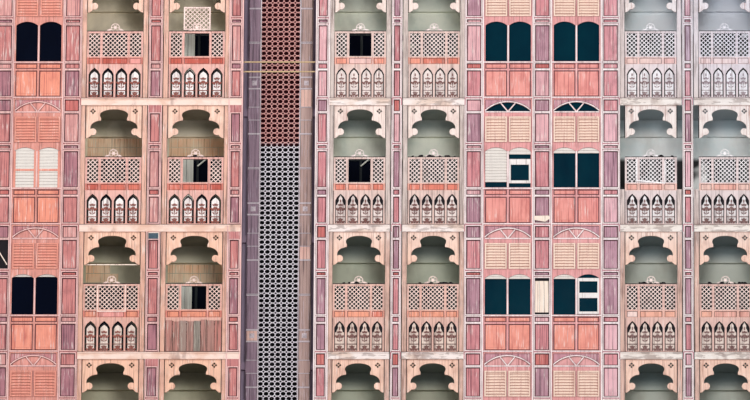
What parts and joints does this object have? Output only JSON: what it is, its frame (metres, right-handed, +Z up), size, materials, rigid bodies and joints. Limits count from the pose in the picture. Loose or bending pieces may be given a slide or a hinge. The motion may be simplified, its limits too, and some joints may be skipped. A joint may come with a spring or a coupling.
{
  "type": "mashrabiya screen",
  "caption": "Weathered timber mashrabiya screen facade with multifoil arches, lattice balustrades, louvred window bays and an openwork shaft.",
  "frame": {"origin": "middle of the footprint at ground level", "axes": "+X to the right along the facade, +Y into the building, +Z up"},
  "size_m": [18.83, 1.5, 12.98],
  "materials": {
    "concrete": "matte",
    "rose_wood_paint": "matte",
    "cream_wood_paint": "matte",
    "orange_wood_paint": "matte",
    "white_wood_paint": "matte",
    "plaster": "matte",
    "screen_block": "matte",
    "dark_pier": "matte",
    "door_metal": "satin",
    "bar_metal": "matte",
    "dark_glass": "gloss"
  },
  "bodies": {
    "root": {"ground_slab": "concrete", "floor_slabs": "concrete", "roof_slab": "concrete", "party_wall_left": "concrete", "party_wall_right": "concrete", "cross_walls": "concrete", "rear_walls": "concrete", "loggia_back_beams": "concrete", "shaft_back_wall": "dark_pier", "shaft_piers": "dark_pier", "door_frames": "door_metal", "door_glass": "dark_glass", "window_glass": "dark_glass", "shaft_tie_bars": "bar_metal", "fascias": "plaster", "posts": "cream_wood_paint", "louvred_leaves": "cream_wood_paint", "panel_strips_storey_1": "rose_wood_paint", "arch_panels_storey_1": "cream_wood_paint", "window_frames_storey_1": "orange_wood_paint", "balustrade_frames_storey_1": "white_wood_paint", "baluster_boards_storey_1": "white_wood_paint", "lattice_panels_storey_1": "white_wood_paint", "shaft_screen_storey_1": "screen_block", "panel_strips_storey_2": "rose_wood_paint", "arch_panels_storey_2": "cream_wood_paint", "window_frames_storey_2": "orange_wood_paint", "balustrade_frames_storey_2": "white_wood_paint", "baluster_boards_storey_2": "white_wood_paint", "lattice_panels_storey_2": "white_wood_paint", "shaft_screen_storey_2": "screen_block", "panel_strips_storey_3": "rose_wood_paint", "arch_panels_storey_3": "cream_wood_paint", "window_frames_storey_3": "orange_wood_paint", "balustrade_frames_storey_3": "white_wood_paint", "baluster_boards_storey_3": "white_wood_paint", "lattice_panels_storey_3": "white_wood_paint", "shaft_screen_storey_3": "screen_block", "panel_strips_storey_4": "rose_wood_paint", "arch_panels_storey_4": "cream_wood_paint", "window_frames_storey_4": "orange_wood_paint", "balustrade_frames_storey_4": "white_wood_paint", "baluster_boards_storey_4": "white_wood_paint", "lattice_panels_storey_4": "white_wood_paint", "shaft_screen_storey_4": "screen_block"}
  },
  "joints": []
}
